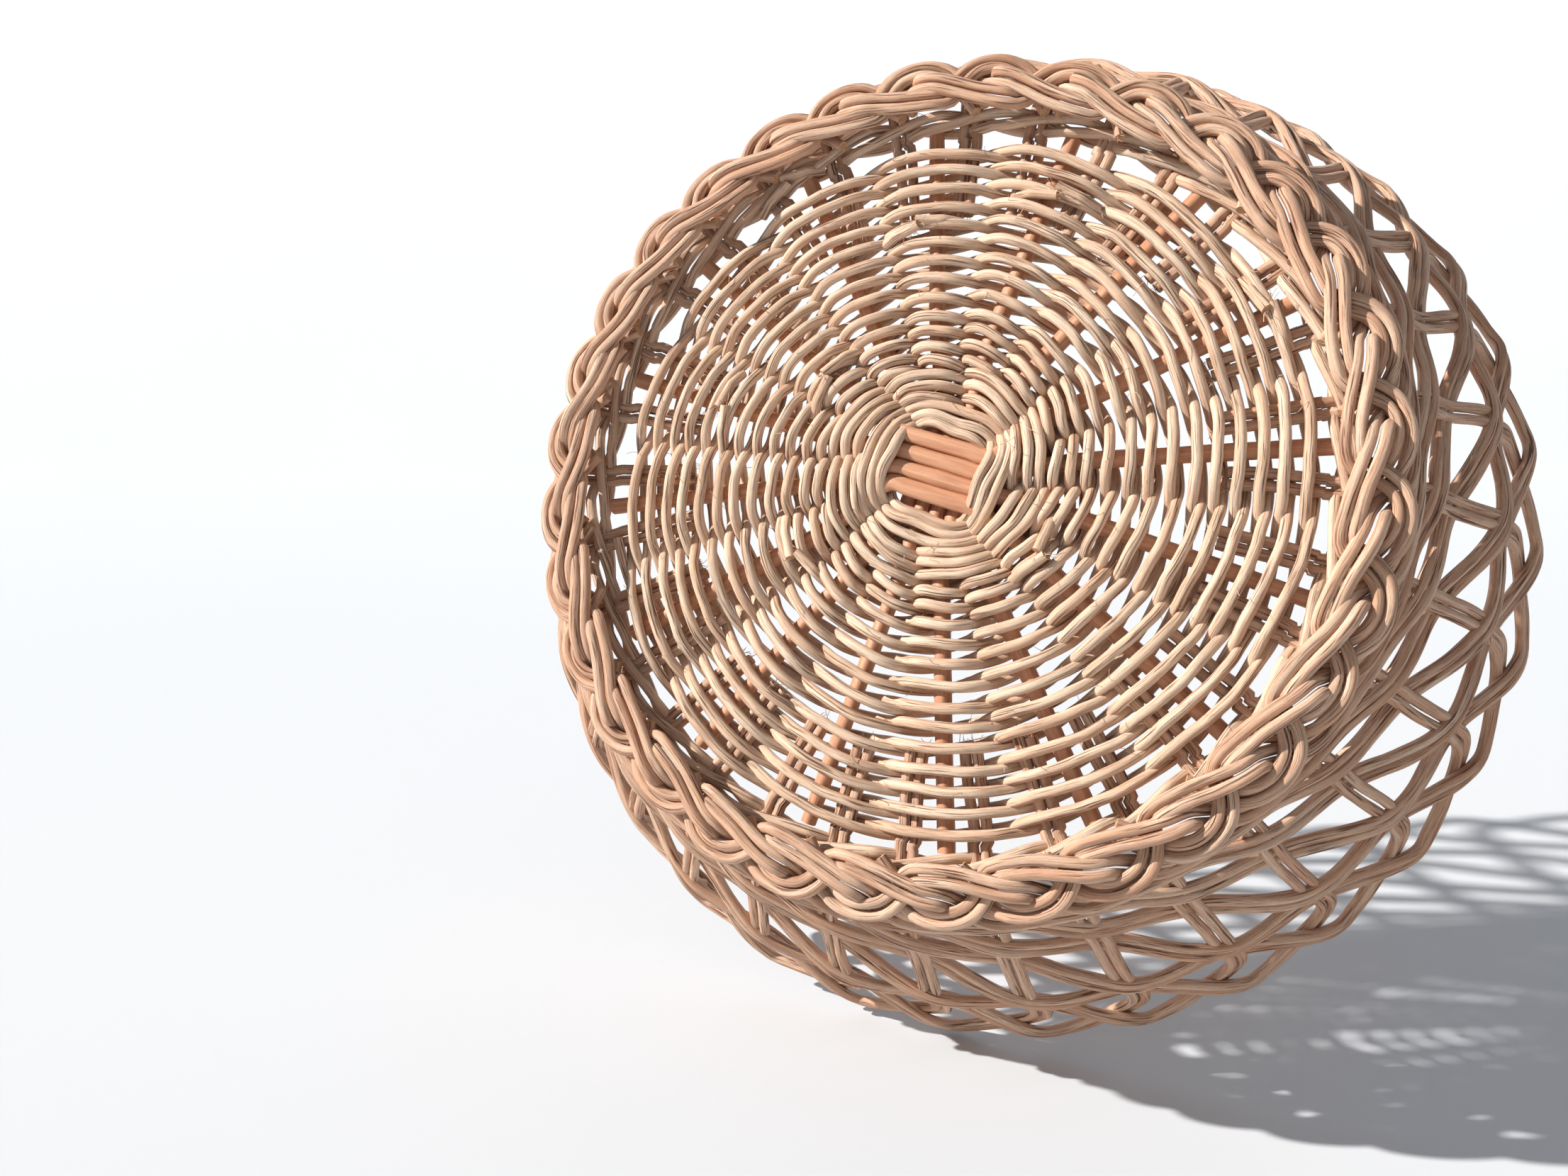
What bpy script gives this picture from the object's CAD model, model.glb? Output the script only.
"""A small round wicker basket: every rod with its bends, ribs, cut ends and grain."""

import math

import bpy
import numpy as np
from mathutils import Matrix, Vector


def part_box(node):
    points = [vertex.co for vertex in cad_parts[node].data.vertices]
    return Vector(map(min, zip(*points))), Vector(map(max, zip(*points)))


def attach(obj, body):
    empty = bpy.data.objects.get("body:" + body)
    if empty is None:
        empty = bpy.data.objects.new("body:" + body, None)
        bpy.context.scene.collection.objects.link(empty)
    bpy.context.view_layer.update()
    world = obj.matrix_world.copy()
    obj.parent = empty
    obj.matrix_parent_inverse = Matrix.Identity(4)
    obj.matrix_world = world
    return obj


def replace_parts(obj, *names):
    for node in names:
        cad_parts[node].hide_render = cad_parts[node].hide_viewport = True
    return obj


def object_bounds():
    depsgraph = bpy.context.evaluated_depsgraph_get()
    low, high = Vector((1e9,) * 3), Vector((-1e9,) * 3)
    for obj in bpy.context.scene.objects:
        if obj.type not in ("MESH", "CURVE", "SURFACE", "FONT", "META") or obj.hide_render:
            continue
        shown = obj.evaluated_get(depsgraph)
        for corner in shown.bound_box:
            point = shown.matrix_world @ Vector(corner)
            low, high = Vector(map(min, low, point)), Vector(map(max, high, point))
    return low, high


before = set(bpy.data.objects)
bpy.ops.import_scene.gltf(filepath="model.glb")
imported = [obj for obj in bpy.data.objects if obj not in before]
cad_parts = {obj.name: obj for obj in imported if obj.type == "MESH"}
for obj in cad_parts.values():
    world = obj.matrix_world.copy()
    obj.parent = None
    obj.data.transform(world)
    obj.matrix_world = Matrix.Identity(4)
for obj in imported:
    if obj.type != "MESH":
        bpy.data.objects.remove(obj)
cad_low, cad_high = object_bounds()

# ---- sizes, in millimetres until a mesh is made -------------------------------------------------
MM = 0.001
TURN = 2 * math.pi


def half_width(low, high):
    """Half of a box's extent along X, in millimetres."""
    return (high.x - low.x) / 2 / MM


stake_d = 2.3
weaver_d = 2.2
stick_d = 3.5
foot_overhang = 16.0              # how far the foot reaches outside the woven disc
disc_height = 10.0
disc_sag = 4.0
cross_off = np.array([1.5, -1.0])
cross_twist = math.radians(10)    # how far the bare middle of the cross is turned from its spokes
wall_start = 11.0
wall_belly = 3.4

rim_r = half_width(cad_low, cad_high)
height = cad_high.z / MM
disc_r = half_width(*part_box("base_weaver_over"))
foot_r = disc_r + foot_overhang
stake_r, weaver_r, stick_r = stake_d / 2, weaver_d / 2, stick_d / 2
hair_r = 0.06
rod_ribs = ((2, 0.035), (3, 0.025), (5, 0.018), (8, 0.014))    # waves round the rod, depth as a share
pair_count = sum(name.startswith("stake_pair_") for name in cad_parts)
pitch = TURN / pair_count
spoke_pitch = 2 * pitch


# ---- vectors, wobbles and routes ----------------------------------------------------------------
def unit(vectors):
    return vectors / np.linalg.norm(vectors, axis=-1, keepdims=True)


def running_length(points):
    steps = np.linalg.norm(np.diff(points, axis=0), axis=1)
    return np.concatenate([[0.0], np.cumsum(steps)])


def wander(rng, along, wave, amount):
    """A smooth seeded wobble of about that wavelength and size."""
    total = np.zeros_like(along)
    for share in (1.0, 0.6, 0.35):
        total += share * np.sin(TURN * along / (wave * share) + rng.uniform(0, TURN))
    return amount * total / 1.3


def smooth_rows(rows, place, spacing):
    """A smooth curve through the rows, as new rows that lie evenly spaced once they are placed."""
    rows = np.array(rows, float)
    gaps = np.linalg.norm(np.diff(place(rows), axis=0), axis=1)
    knots = np.concatenate([[0.0], np.cumsum(np.sqrt(gaps))])
    slopes = np.gradient(rows, knots, axis=0)
    at = np.linspace(0, knots[-1], 60 * len(rows))
    i = np.clip(np.searchsorted(knots, at, side="right") - 1, 0, len(rows) - 2)
    span = (knots[i + 1] - knots[i])[:, None]
    t = (at - knots[i])[:, None] / span
    fine = ((2 * t**3 - 3 * t**2 + 1) * rows[i] + (t**3 - 2 * t**2 + t) * span * slopes[i]
            + (3 * t**2 - 2 * t**3) * rows[i + 1] + (t**3 - t**2) * span * slopes[i + 1])
    along = running_length(place(fine))
    even = np.linspace(0, along[-1], round(along[-1] / spacing) + 1)
    return np.column_stack([np.interp(even, along, column) for column in fine.T])


# ---- rods ---------------------------------------------------------------------------------------
class RodMesh:
    """Gathers swept rods, then makes them one mesh object with grain attributes."""

    def __init__(self):
        self.points, self.grain, self.tone, self.cut, self.faces = [], [], [], [], []
        self.count = 0

    def add(self, points, grain, tone, cut, faces):
        self.points.append(points)
        self.grain.append(grain)
        self.tone.append(np.full(len(points), tone))
        self.cut.append(np.full(len(points), cut))
        self.faces.extend((np.array(faces) + self.count).tolist())
        self.count += len(points)

    def build(self, name, material):
        mesh = bpy.data.meshes.new(name)
        mesh.from_pydata((np.concatenate(self.points) * MM).tolist(), [], self.faces)
        grain = mesh.attributes.new("grain", "FLOAT_VECTOR", "POINT")
        grain.data.foreach_set("vector", np.concatenate(self.grain).astype(np.float32).ravel())
        for key, values in (("tone", self.tone), ("cut", self.cut)):
            attribute = mesh.attributes.new(key, "FLOAT", "POINT")
            attribute.data.foreach_set("value", np.concatenate(values).astype(np.float32))
        mesh.polygons.foreach_set("use_smooth", [True] * len(mesh.polygons))
        mesh.materials.append(material)
        mesh.update()
        piece = bpy.data.objects.new(name, mesh)
        bpy.context.scene.collection.objects.link(piece)
        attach(piece, "root")
        return piece


def tube_faces(rings, sides):
    """Quads that join rings of points, each ring following the one before."""
    ring, side = np.meshgrid(np.arange(rings - 1), np.arange(sides), indexing="ij")
    here = ring * sides + side
    beside = ring * sides + (side + 1) % sides
    return np.stack([here, beside, beside + sides, here + sides], -1).reshape(-1, 4)


def add_cut_end(mesh, ring, middle, outwards, grain, flip, rng):
    """Closes a rod with a slightly rough sawn face."""
    shares = (1.0, 0.72, 0.4, 0.08)
    sides = len(ring)
    points, coords = [], []
    for share in shares:
        rough = rng.normal(0, 0.07, sides) if 0.08 < share < 1 else np.zeros(sides)
        points.append(middle + (ring - middle) * share + outwards * rough[:, None])
        coords.append(grain * [share, share, 1])
    faces = tube_faces(len(shares), sides)
    lid = np.arange(sides) + (len(shares) - 1) * sides
    if flip:
        faces = faces[:, ::-1]
        lid = lid[::-1]
    mesh.add(np.concatenate(points), np.concatenate(coords), 0.5, 1.0, faces)
    mesh.faces.append((lid + mesh.count - len(shares) * sides).tolist())


def add_rod(mesh, path, facing, diameter, sides, rng, swell=0.0):
    """Sweeps one ribbed, slightly uneven rod along a path and closes both its ends."""
    heading = unit(np.gradient(path, axis=0))
    across = unit(np.cross(heading, facing))
    out = np.cross(across, heading)
    along = running_length(path)
    around = np.arange(sides) / sides * TURN
    ribs = np.zeros((len(path), sides))
    for waves, depth in rod_ribs:
        twist = wander(rng, along, 90, 0.5) + rng.uniform(0, TURN)
        ribs += depth * np.cos(waves * around[None, :] + twist[:, None])
    radius = diameter / 2 * (1 + wander(rng, along, 26, 0.03) + swell)[:, None] * (1 + ribs)
    ray = np.cos(around)[None, :, None] * out[:, None] + np.sin(around)[None, :, None] * across[:, None]
    rings = path[:, None] + radius[..., None] * ray
    grain = np.empty_like(rings)
    grain[..., 0] = np.cos(around) * diameter / 2
    grain[..., 1] = np.sin(around) * diameter / 2
    grain[..., 2] = along[:, None] + rng.uniform(0, 4000)
    tone = rng.uniform(0, 1)
    mesh.add(rings.reshape(-1, 3), grain.reshape(-1, 3), tone, 0.0, tube_faces(len(path), sides))
    add_cut_end(mesh, rings[0], path[0], -heading[0], grain[0], True, rng)
    add_cut_end(mesh, rings[-1], path[-1], heading[-1], grain[-1], False, rng)


def add_hair(mesh, start, towards, length, rng):
    """One torn fibre: a thin curling rod."""
    share = np.linspace(0, 1, 7)[:, None]
    curl = unit(np.cross(towards, rng.normal(size=3))) * rng.uniform(0.1, 0.7) * length
    path = start + towards * length * share + curl * share**2
    add_rod(mesh, path, unit(np.cross(towards, curl) + 1e-6), 2 * hair_r, 4, rng)


def add_fray(mesh, end, towards, count, rng):
    """A tuft of torn fibres at a cut end."""
    for _ in range(count):
        start = end + rng.normal(0, 0.45, 3)
        add_hair(mesh, start, unit(towards + rng.normal(0, 0.55, 3)), rng.uniform(0.8, 2.6), rng)


# ---- base ---------------------------------------------------------------------------------------
DOWN = np.array([0.0, 0.0, -1.0])
cross_half = 2 * stick_d
fan_end = 26.0
knotted_stick = (-1, 2)           # layer and lane of the stick that swells at a knot
knot_offset, knot_reach, knot_swell = 1.5, 2.2, 0.1


def disc_z(r):
    """Height of the sticks' centres at a distance r from the middle of the disc."""
    return disc_height - disc_sag * (1 - (r / disc_r) ** 2)


def disc_centre(r):
    """The disc's rounds drift from the cross in the middle back to the basket's axis at the edge."""
    return np.maximum(0, 1 - 0.6 * np.asarray(r) / disc_r)[..., None] * cross_off


def on_disc(angle, r, z):
    """Points at an angle and a distance from the disc's own middle."""
    angle, r, z = np.broadcast_arrays(angle, r, z)
    flat = disc_centre(r) + r[..., None] * np.stack([np.cos(angle), np.sin(angle)], -1)
    return np.concatenate([flat, z[..., None]], -1)


def half_stick(lane, turn, level):
    """One half of a stick: straight across the middle, then fanned out to its own spoke."""
    lateral = (lane - 1.5) * stick_d
    spoke = turn + (lane - 1.5) * spoke_pitch
    twisted = turn + cross_twist
    points = []
    for x in (0.0, 5.0, cross_half + 2):
        ahead = np.array([math.cos(twisted), math.sin(twisted)]) * x
        beside = np.array([-math.sin(twisted), math.cos(twisted)]) * lateral
        points.append([*(disc_centre(0) + ahead + beside), disc_z(x) + level * stick_r])
    for r in (fan_end, disc_r * 0.6, disc_r + 1.5):
        points.append(on_disc(spoke, r, disc_z(r)).tolist())
    return points


def make_sticks(material):
    for level, side in ((-1, "lower"), (1, "upper")):
        for lane in range(4):
            rng = np.random.default_rng(100 + 10 * level + lane)
            turn = 0 if level < 0 else TURN / 4
            out = half_stick(lane, turn, level)
            back = half_stick(3 - lane, turn + TURN / 2, level)
            path = smooth_rows(back[:0:-1] + out, lambda rows: rows, 1.6)
            along = running_length(path)
            from_knot = (along - along[-1] / 2 - knot_offset) / knot_reach
            knot = knot_swell * np.exp(-(from_knot**2)) if (level, lane) == knotted_stick else 0
            mesh = RodMesh()
            add_rod(mesh, path, DOWN, stick_d * rng.uniform(0.97, 1.03), 20, rng, knot)
            piece = mesh.build(f"stick_{side}_{lane + 1}", material)
            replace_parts(piece, f"base_stick_{side}_{lane + 1}")


# Twining: two weavers twist about each other, one in front and one behind each group of sticks.
# The groups are four sticks, then two, then one, as the sticks spread.
rounds_by_four, rounds_by_two = 3, 3
row_radii = [9.4, 11.4, 13.5, 15.7, 18.0, 20.4, 22.9, 25.8, 29.0, 32.6]    # of the first rounds
row_pitch = 4.1                   # between the later rounds
twine_start = TURN * 5 / 8
last_row_r = disc_r - weaver_r
twine_rounds = len(row_radii) - 1 + (last_row_r - row_radii[-1]) / row_pitch
phase_rounds = np.array([0, rounds_by_four, rounds_by_four + rounds_by_two, twine_rounds])
phase_angles = twine_start + TURN * phase_rounds
phase_rates = np.array([4, 8, 16])
phase_turns = math.pi * (0.5 + np.concatenate([[0], np.cumsum(phase_rates * np.diff(phase_angles) / TURN)]))
half_twist = 0.75                 # how far a strand swings in and out as it twists about the other
stroke_rise = stick_r + weaver_r


def row_radius(rounds):
    """Distance of the twining from the middle of the disc after that many rounds."""
    inner = np.interp(rounds, np.arange(len(row_radii)), row_radii)
    return inner + row_pitch * np.maximum(0, rounds - len(row_radii) + 1)


def twined_path(weaver, angle):
    """Route of one of the two base weavers at the given running angles."""
    rng = np.random.default_rng(7)
    rounds = (angle - twine_start) / TURN
    square = 0.10 * np.clip(1.4 - rounds / 3, 0, 1)
    row_r = row_radius(rounds) * (1 - square * np.cos(4 * angle)) + wander(rng, angle * 10, 47, 0.22)
    phase = np.interp(angle, phase_angles, phase_turns) + weaver * math.pi
    fanned = np.clip((fan_end - row_r) / (fan_end - cross_half - 2), 0, 1)
    rise = stroke_rise * np.sin(math.pi / 2 * np.cos(phase))
    z = disc_z(row_r) - stick_r * np.cos(2 * angle) * fanned - rise
    return on_disc(angle + cross_twist * fanned, row_r - half_twist * np.sin(phase), z)


# Where a weaver ran out and the next one starts: [spoke, distance from the middle of the disc]
splices = [(8.45, 50.0), (9.45, 31.5), (11.35, 53.0), (14.5, 70.0),
           (1.35, 26.5), (6.3, 33.0), (12.6, 61.5), (10.35, 75.5)]
splice_length = 9.0
hairs_per_weaver = 130


def add_splice(mesh, spoke, r, rng):
    """Two cut weaver ends that cross below a spoke and stand a little proud of the weave."""
    for side in (-1, 1):
        share = np.linspace(0, 1, 14)
        reach = splice_length / r / spoke_pitch
        angle = (spoke + side * (reach * (1 - share) - 0.02)) * spoke_pitch
        proud = stroke_rise + 0.3 + rng.uniform(0.6, 1.8) * share**2
        lean = rng.uniform(0.4, 1.6) * share**2
        below = proud * np.minimum(1, 0.25 + 2 * share)
        path = on_disc(angle, r + side * 0.9 + lean, disc_z(r) - below)
        add_rod(mesh, path, DOWN, weaver_d * 0.95, 14, rng)
        add_fray(mesh, path[-1], unit(path[-1] - path[-2]), 7, rng)


def make_base_weavers(material):
    last = phase_angles[-1]
    for weaver, name in ((0, "first"), (1, "second")):
        rng = np.random.default_rng(20 + weaver)
        angle = np.linspace(twine_start - 0.3, last, 40000)
        path = twined_path(weaver, angle)
        along = running_length(path)
        even = np.linspace(0, along[-1], round(along[-1] / 0.85) + 1)
        path = twined_path(weaver, np.interp(even, along, angle))
        path += np.stack([wander(rng, even, wave, 0.12) for wave in (19, 23, 29)], -1)
        mesh = RodMesh()
        add_rod(mesh, path, DOWN, weaver_d, 14, rng)
        for at in rng.integers(200, len(path) - 10, hairs_per_weaver):
            leaving = unit(path[at + 1] - path[at] + DOWN * rng.uniform(0.4, 1.6) + rng.normal(0, 0.5, 3))
            add_hair(mesh, path[at] + DOWN * weaver_r, leaving, rng.uniform(1.0, 4.0), rng)
        for spoke, r in splices[weaver::2]:
            add_splice(mesh, spoke, r, rng)
        piece = mesh.build(f"base_weaver_{name}", material)
        if weaver == 0:
            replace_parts(piece, "base_weaver_under", "cross_binding")
        else:
            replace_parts(piece, "base_weaver_over")


def make_upsett(material):
    """Three rods that wale round the stake pairs just outside the disc, each below every third."""
    mesh = RodMesh()
    rng = np.random.default_rng(31)
    for weaver in range(3):
        angle = np.linspace(0.1, TURN + 0.35, 620)
        phase = (angle / pitch - 0.5 + weaver) * TURN / 3
        rise = (stake_r + weaver_r) * np.clip(1.5 * (np.cos(phase) + 0.4), -1, 1)
        r = disc_r + 3.9 + 1.7 * np.sin(phase) + wander(rng, angle * 77, 40, 0.2)
        path = np.stack([r * np.cos(angle), r * np.sin(angle), disc_height + 0.5 - rise], -1)
        add_rod(mesh, path, DOWN, weaver_d, 14, rng)
    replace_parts(mesh.build("upsett_weavers", material), "upsett_weaver")


# ---- stake pairs --------------------------------------------------------------------------------
wall_foot_r = foot_r - 2.6
wall_rim_r = rim_r - 2 * stake_d + 1.2
wall_top = height - stake_d
weave_in = 0.33                   # an upright's sway, in stake thicknesses
weave_out = 0.65                  # a slanting stake's sway, in stake thicknesses
slant_heights = (0.71, 0.56, 0.29, 0.13)     # where a slant crosses the 2nd to the 5th upright


def wall_point(t):
    r = wall_foot_r + (wall_rim_r - wall_foot_r) * t + wall_belly * 4 * t * (1 - t)
    return np.array([r, wall_start + (wall_top - wall_start) * t])


def side_point(steps, t, layer):
    """Steps round from the stake's own upright, share of the height, layer out or in."""
    along_wall = wall_point(t + 0.01) - wall_point(t - 0.01)
    normal = unit(np.array([along_wall[1], -along_wall[0]]))
    r, z = wall_point(t) + layer * stake_d * normal
    return [steps, r, z, *normal]


def pair_rows():
    """Rows of steps round, radius, height, facing outwards and facing upwards."""
    rows = [[0, disc_r * share, disc_z(disc_r * share), 0, -1] for share in (0.74, 0.87)]
    rows += [[0, disc_r + 1, disc_z(disc_r), 0, -1], [0, foot_r - 5.5, disc_height + 0.6, 0.3, -1]]
    rows += [side_point(0, 0.05, 0.1)]
    rows += [side_point(0, t, -weave_in * (-1) ** i) for i, t in enumerate(slant_heights)][::-1]
    rows += [side_point(*turn) for turn in rim_turn]
    rows += [side_point(i + 2, t, -weave_out * (-1) ** i) for i, t in enumerate(slant_heights)]
    rows += [[plait_start + step, plait_r + r, z, out, up] for step, r, z, out, up in plait]
    return rows


# The turn at the rim, from the upright's own top to the peak that lies over the next upright
rim_turn = [(0.02, 0.80, -0.2), (0.12, 0.895, -0.3), (0.50, 0.955, 0.1),
            (0.85, 1.0, 0.6), (1.05, 1.005, 0.9), (1.25, 0.95, 0.8)]
plait_start = 7.3
plait_r = foot_r - 5
plait = [
    (-1.70, 5.0, 12.6, 0.9, -0.5),
    (-1.15, 4.2, 9.4, 0.8, -0.6),
    (-0.38, 3.0, 8.1, 0.6, -0.8),
    (-0.14, 1.1, 6.8, 0.3, -1),
    (0.02, -0.4, 4.8, 0.1, -1),
    (0.12, -1.2, 2.2, 0, -1),
    (0.33, -2.0, 1.2, 0, -1),
    (0.60, -3.4, 1.2, 0, -1),
    (0.87, -4.7, 1.2, 0, -1),
    (1.13, -5.4, 1.2, 0, -1),
    (1.38, -5.6, 1.5, 0, -1),
    (1.52, -5.0, 2.7, 0, -1),
    (1.61, -2.4, 3.7, 0, -1),
    (1.70, -0.2, 3.9, 0, -1),
    (1.86, 1.9, 4.0, 0.3, -1),
    (2.12, 2.8, 4.1, 0.4, -0.9),
    (2.34, 2.2, 4.6, 0.3, -1),
    (2.52, 0.6, 5.5, 0.1, -1),
    (2.68, -1.9, 6.0, 0, -1),
    (3.00, -7.4, 4.6, 0, -1)]


def place_pair(rows, k):
    """Where the rows of stake pair k lie. Rows inside the disc follow its drift off the axis."""
    angle = (k - 0.5 + rows[:, 0]) * pitch
    flat = rows[:, 1:2] * np.stack([np.cos(angle), np.sin(angle)], -1)
    inside = ((rows[:, 0] < 0.01) & (rows[:, 1] < disc_r) & (rows[:, 2] < disc_height + 1))[:, None]
    flat = flat + np.where(inside, disc_centre(rows[:, 1]), 0)
    return np.column_stack([flat, rows[:, 2]])


def face_pair(rows, k):
    angle = (k - 0.5 + rows[:, 0]) * pitch
    return unit(np.column_stack([rows[:, 3] * np.cos(angle), rows[:, 3] * np.sin(angle), rows[:, 4]]))


def make_stake_pairs(material):
    for k in range(1, pair_count + 1):
        rng = np.random.default_rng(1000 + k)
        rows = smooth_rows(pair_rows(), lambda r: place_pair(r, k), 1.25)
        middle = place_pair(rows, k)
        facing = face_pair(rows, k)
        beside = unit(np.cross(unit(np.gradient(middle, axis=0)), facing))
        along = running_length(middle)
        spread = 0.12 + np.abs(wander(rng, along, 40, 0.16))
        sway = wander(rng, along, 60, 0.35)
        mesh = RodMesh()
        for lane in (-0.5, 0.5):
            shift = lane * (stake_d + spread) + sway
            lift = wander(rng, along, 33, 0.12)
            path = middle + beside * shift[:, None] + facing * lift[:, None]
            trim = rng.integers(0, 2)
            path = path[trim:len(path) - rng.integers(0, 3)]
            add_rod(mesh, path, facing[trim:trim + len(path)], stake_d * rng.uniform(0.93, 1.06), 18, rng)
            add_fray(mesh, path[0], unit(path[0] - path[1]), 5, rng)
            if rng.uniform() < 0.3:
                add_fray(mesh, path[-1], unit(path[-1] - path[-2]), 4, rng)
        piece = mesh.build(f"stakes_{k:02d}", material)
        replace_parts(piece, f"stake_pair_{k:02d}")


# ---- materials ----------------------------------------------------------------------------------
class Nodes:
    """Short calls for building a material's node tree."""

    def __init__(self, material):
        material.use_nodes = True
        self.tree = material.node_tree
        self.shader = self.tree.nodes["Principled BSDF"]

    def new(self, kind, inputs=None, **settings):
        node = self.tree.nodes.new(kind)
        for key, value in settings.items():
            setattr(node, key, value)
        for key, value in (inputs or {}).items():
            self.put(node.inputs[key], value)
        return node

    def put(self, socket, value):
        if isinstance(value, bpy.types.NodeSocket):
            self.tree.links.new(value, socket)
        else:
            socket.default_value = value

    def attribute(self, name, output):
        return self.new("ShaderNodeAttribute", attribute_name=name).outputs[output]

    def stretched(self, vector, scale):
        node = self.new("ShaderNodeVectorMath", {0: vector, 1: scale}, operation="MULTIPLY")
        return node.outputs["Vector"]

    def noise(self, vector, scale, detail=2.0, roughness=0.5):
        inputs = {"Vector": vector, "Scale": scale, "Detail": detail, "Roughness": roughness}
        return self.new("ShaderNodeTexNoise", inputs).outputs["Fac"]

    def remap(self, value, low, high, to_low=0.0, to_high=1.0):
        inputs = {"Value": value, "From Min": low, "From Max": high, "To Min": to_low, "To Max": to_high}
        return self.new("ShaderNodeMapRange", inputs, interpolation_type="SMOOTHSTEP").outputs["Result"]

    def math(self, operation, a, b):
        return self.new("ShaderNodeMath", {0: a, 1: b}, operation=operation).outputs[0]

    def mix(self, share, a, b):
        node = self.new("ShaderNodeMix", data_type="RGBA")
        self.put(node.inputs["Factor"], share)
        self.put(node.inputs["A"], a)
        self.put(node.inputs["B"], b)
        return node.outputs["Result"]

    def porous(self, grain, scale, pore_edge, pore, wood):
        """Colour of a cut end: dark pores in the wood, the same at every depth."""
        inputs = {"Vector": self.stretched(grain, (1, 1, 0)), "Scale": scale}
        cells = self.new("ShaderNodeTexVoronoi", inputs)
        return self.mix(self.remap(cells.outputs["Distance"], 0.1, pore_edge), pore, wood)

    def bumped(self, height, strength, distance):
        """Gives the material its fine relief."""
        inputs = {"Height": height, "Strength": strength, "Distance": distance}
        self.put(self.shader.inputs["Normal"], self.new("ShaderNodeBump", inputs).outputs["Normal"])


def rattan(name, pale, warm, dirt, groove_dark, groove_depth):
    """Rattan core: pale, ribbed lengthwise, with dark grooves, soft streaks and porous cut ends."""
    material = bpy.data.materials.new(name)
    n = Nodes(material)
    grain = n.attribute("grain", "Vector")
    streak = n.noise(n.stretched(grain, (1, 1, 0.03)), 0.8, 3.0, 0.6)
    patch = n.noise(n.stretched(grain, (0.25, 0.25, 0.05)), 1.0, 2.0)
    grooves = n.noise(n.stretched(grain, (1, 1, 0.03)), 2.6, 2.0, 0.55)
    lines = n.noise(n.stretched(grain, (1, 1, 0.02)), 6.5, 2.0, 0.5)
    fibres = n.noise(n.stretched(grain, (1, 1, 0.09)), 11.0, 3.0, 0.7)
    fuzz = n.noise(n.stretched(grain, (1, 1, 0.5)), 9.0, 3.0, 0.8)
    here = n.remap(n.noise(n.stretched(grain, (0.7, 0.7, 0.07)), 1.1), 0.38, 0.58)
    groove = n.math("MULTIPLY", n.remap(grooves, 0.45, 0.36), here)
    line = n.remap(lines, 0.42, 0.33, 0, 0.8)
    colour = n.mix(n.remap(streak, 0.35, 0.65), pale, warm)
    colour = n.mix(n.math("MULTIPLY", n.attribute("tone", "Fac"), 0.5), colour, warm)
    colour = n.mix(n.remap(patch, 0.52, 0.75, 0, 0.55), colour, dirt)
    colour = n.mix(n.remap(fibres, 0.3, 0.7, 0.35, 0.0), colour, dirt)
    colour = n.mix(line, colour, dirt)
    colour = n.mix(n.math("MULTIPLY", groove, 0.9), colour, groove_dark)
    colour = n.mix(n.remap(fuzz, 0.62, 0.74, 0, 0.5), colour, (0.86, 0.78, 0.66, 1))
    end_colour = n.porous(grain, 3.4, 0.26, (0.13, 0.05, 0.02, 1), (0.60, 0.36, 0.20, 1))
    colour = n.mix(n.attribute("cut", "Fac"), colour, end_colour)
    n.put(n.shader.inputs["Base Color"], colour)
    n.put(n.shader.inputs["Roughness"], n.remap(fibres, 0.2, 0.8, 0.46, 0.7))
    n.shader.inputs["Specular IOR Level"].default_value = 0.3
    relief = n.math("SUBTRACT", n.math("MULTIPLY", fibres, 0.4), n.math("MULTIPLY", groove, groove_depth))
    relief = n.math("SUBTRACT", relief, n.math("MULTIPLY", line, 0.35))
    relief = n.math("ADD", relief, n.math("MULTIPLY", streak, 0.5))
    n.bumped(relief, 0.9, 0.0002)
    return material


def stick_wood():
    """Peeled cane of the base sticks: smooth, salmon brown, faintly streaked."""
    material = bpy.data.materials.new("stick_wood")
    n = Nodes(material)
    grain = n.attribute("grain", "Vector")
    streak = n.noise(n.stretched(grain, (1, 1, 0.06)), 1.1, 3.0, 0.6)
    fine = n.noise(n.stretched(grain, (1, 1, 0.12)), 6.0, 3.0, 0.6)
    colour = n.mix(n.remap(streak, 0.3, 0.7), (0.48, 0.21, 0.11, 1), (0.63, 0.33, 0.19, 1))
    colour = n.mix(n.remap(fine, 0.55, 0.8, 0, 0.35), colour, (0.3, 0.11, 0.05, 1))
    end_colour = n.porous(grain, 2.6, 0.3, (0.2, 0.08, 0.03, 1), (0.62, 0.34, 0.17, 1))
    colour = n.mix(n.attribute("cut", "Fac"), colour, end_colour)
    n.put(n.shader.inputs["Base Color"], colour)
    n.put(n.shader.inputs["Roughness"], n.remap(fine, 0.2, 0.8, 0.42, 0.6))
    n.bumped(n.math("ADD", streak, fine), 0.5, 0.0001)
    return material


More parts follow.
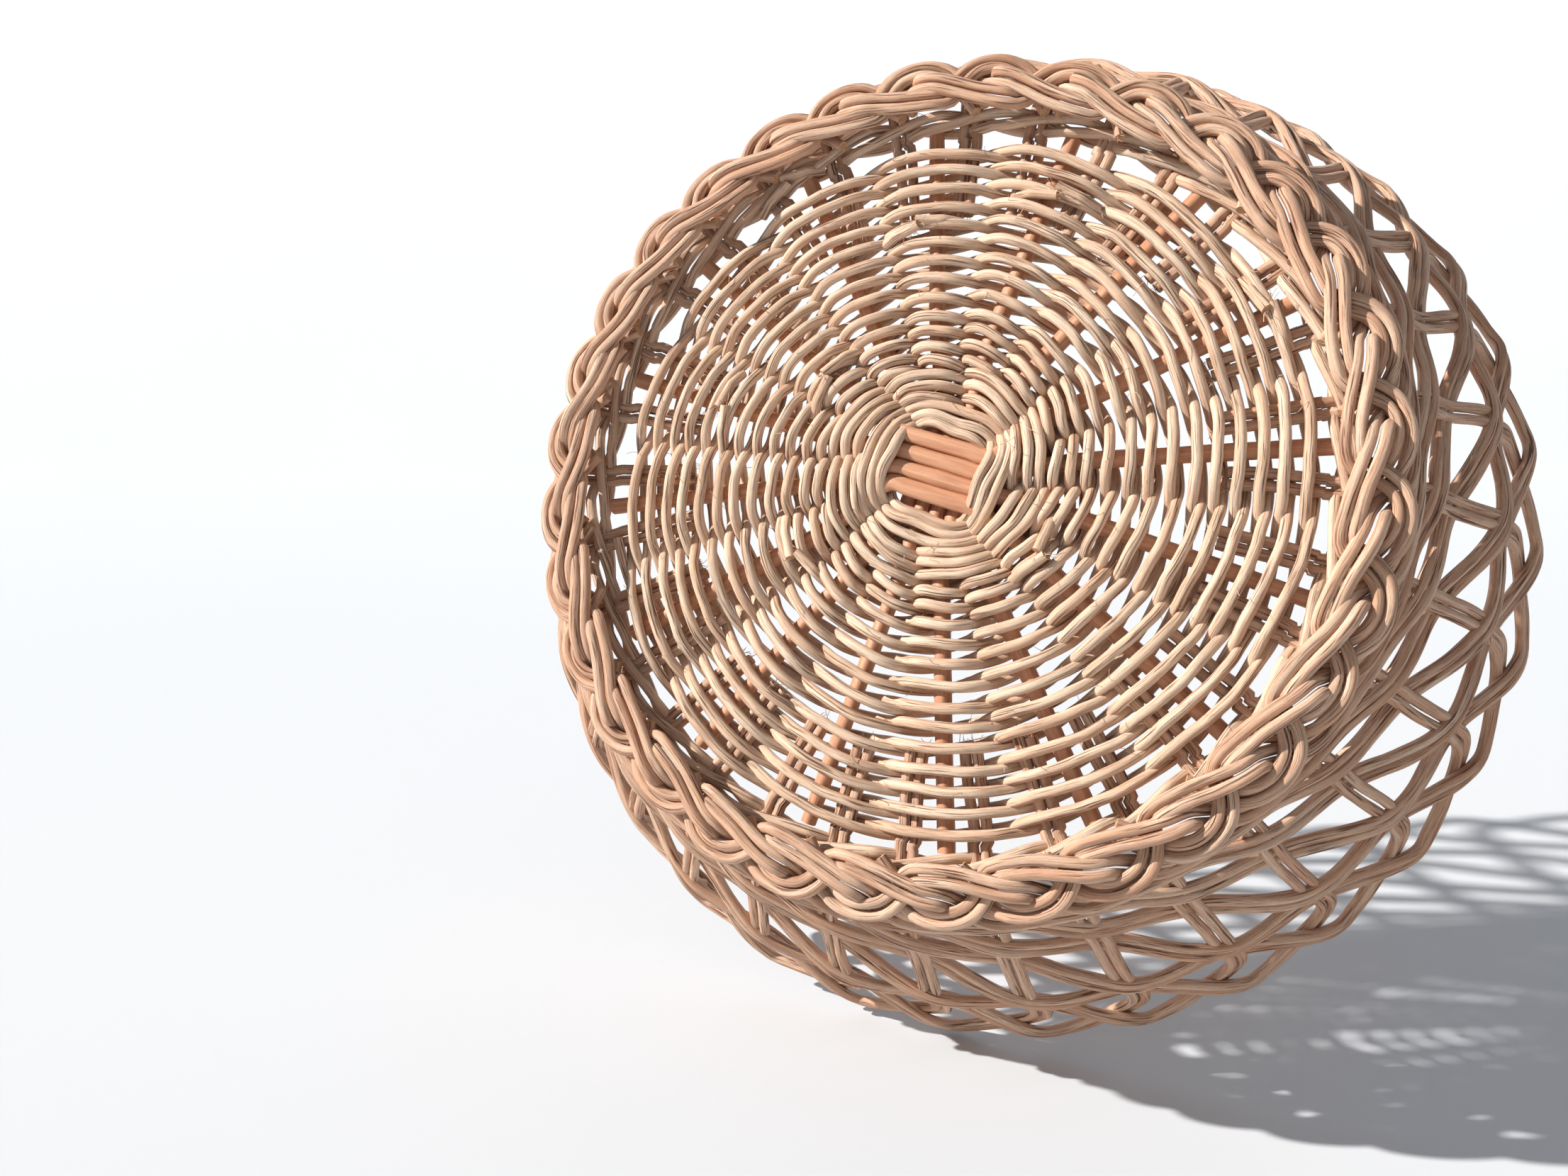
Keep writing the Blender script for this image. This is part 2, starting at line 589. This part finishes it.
def backdrop_paper():
    """Seamless pale paper, seen from its lit side only. Where it rises behind, it glows softly."""
    material = bpy.data.materials.new("backdrop_paper")
    n = Nodes(material)
    coords = n.new("ShaderNodeTexCoord").outputs["Object"]
    mottle = n.noise(coords, 3.0, 2.0)
    n.put(n.shader.inputs["Base Color"], n.mix(mottle, (0.60, 0.62, 0.65, 1), (0.63, 0.65, 0.67, 1)))
    n.put(n.shader.inputs["Emission Color"], n.mix(mottle, (0.80, 0.86, 0.95, 1), (0.86, 0.91, 0.98, 1)))
    n.put(n.shader.inputs["Emission Strength"], n.attribute("glow", "Fac"))
    n.shader.inputs["Roughness"].default_value = 0.9
    n.shader.inputs["Specular IOR Level"].default_value = 0.1
    see_through = n.new("ShaderNodeBsdfTransparent").outputs[0]
    back = n.new("ShaderNodeNewGeometry").outputs["Backfacing"]
    either = n.new("ShaderNodeMixShader", {0: back, 1: n.shader.outputs[0], 2: see_through})
    n.tree.links.new(either.outputs[0], n.tree.nodes["Material Output"].inputs["Surface"])
    return material


# ---- camera, stage and light --------------------------------------------------------------------
# The basket leans on its rim with its underside to the camera. The camera's own frame is X right,
# Y down and Z forward.
camera_focal = 0.896                # focal length as a share of the picture's width
camera_spin = math.radians(8.1)
camera_pitch = math.radians(-9.14)
camera_yaw = math.radians(21.2)
basket_from_camera = Vector((28.2, -23.65, 279.5)) * MM
floor_tilt = math.radians(15)
to_camera = (Matrix.Rotation(camera_yaw, 3, "Y") @ Matrix.Rotation(camera_pitch, 3, "X")
             @ Matrix.Rotation(camera_spin, 3, "Z"))
camera_right, camera_down, camera_forward = (to_camera.row[i].copy() for i in range(3))
up = to_camera.transposed() @ Vector((0, -math.cos(floor_tilt), -math.sin(floor_tilt)))


def make_camera():
    camera = bpy.data.objects.new("camera", bpy.data.cameras.new("camera"))
    camera.data.sensor_width = 36
    camera.data.lens = 36 * camera_focal
    camera.data.clip_start = 0.01
    turn = Matrix((camera_right, -camera_down, -camera_forward)).transposed()
    place = to_camera.transposed() @ -basket_from_camera
    camera.matrix_world = Matrix.Translation(place) @ turn.to_4x4()
    bpy.context.scene.collection.objects.link(camera)
    bpy.context.scene.camera = camera


def make_stage():
    """A floor that the rim leans on, swept up behind into a backdrop."""
    around = np.arange(0, TURN, 0.02)
    rim = [Vector((rim_r * math.cos(a), rim_r * math.sin(a), wall_top)) * MM for a in around]
    level = min(point.dot(up) for point in rim) - stake_r * MM
    away = (camera_forward - up * camera_forward.dot(up)).normalized()
    across = up.cross(away)
    bend, reach, rise, half_across = 0.5, 0.7, 1.6, 2.5
    brightest, full_glow_height = 0.6, 0.35
    outline = [(-1.2, 0.0), (reach, 0.0)]
    for a in np.linspace(0.05, math.pi / 2, 24):
        outline.append((reach + bend * math.sin(a), bend - bend * math.cos(a)))
    outline.append((reach + bend, rise))
    mesh = bpy.data.meshes.new("backdrop")
    sides = (-half_across, half_across)
    points = [up * (level + h) + away * d + across * w for d, h in outline for w in sides]
    faces = [(2 * i, 2 * i + 1, 2 * i + 3, 2 * i + 2) for i in range(len(outline) - 1)]
    mesh.from_pydata(points, [], faces)
    mesh.polygons.foreach_set("use_smooth", [True] * len(faces))
    glow = mesh.attributes.new("glow", "FLOAT", "POINT")
    heights = [h for _, h in outline for _ in sides]
    glow.data.foreach_set("value", [brightest * min(1.0, h / full_glow_height) for h in heights])
    mesh.materials.append(backdrop_paper())
    mesh.update()
    if mesh.polygons[0].normal.dot(up) < 0:
        mesh.flip_normals()
    stage = bpy.data.objects.new("backdrop", mesh)
    bpy.context.scene.collection.objects.link(stage)


def add_sun(name, energy, spread, colour, towards):
    """A sun lamp that shines from the direction given, with its spread in degrees."""
    light = bpy.data.objects.new(name, bpy.data.lights.new(name, "SUN"))
    light.data.energy = energy
    light.data.angle = math.radians(spread)
    light.data.color = colour
    light.rotation_mode = "QUATERNION"
    light.rotation_quaternion = (-towards).to_track_quat("-Z", "Y")
    bpy.context.scene.collection.objects.link(light)


def make_lights():
    world = bpy.data.worlds.new("studio")
    world.use_nodes = True
    background = world.node_tree.nodes["Background"]
    background.inputs["Color"].default_value = (0.92, 0.95, 1.0, 1)
    background.inputs["Strength"].default_value = 0.3
    bpy.context.scene.world = world
    key_side = to_camera.transposed() @ Vector((-0.83, -0.53, -0.19))
    add_sun("key", 6.2, 1.2, (1.0, 0.97, 0.93), key_side.normalized())
    add_sun("fill", 0.35, 60, (1.0, 1.0, 1.0), Vector((0.35, -0.3, 0.9)).normalized())


def main():
    make_camera()
    make_stage()
    make_lights()
    bpy.context.scene.view_settings.view_transform = "Standard"
    stake_cane = rattan("stake_cane", (0.78, 0.58, 0.43, 1), (0.62, 0.35, 0.22, 1), (0.34, 0.17, 0.10, 1),
                        (0.12, 0.04, 0.02, 1), 0.9)
    weaver_cane = rattan("weaver_cane", (0.83, 0.67, 0.51, 1), (0.71, 0.46, 0.31, 1), (0.42, 0.24, 0.15, 1),
                         (0.17, 0.07, 0.035, 1), 0.8)
    make_sticks(stick_wood())
    make_base_weavers(weaver_cane)
    make_upsett(weaver_cane)
    make_stake_pairs(stake_cane)


main()
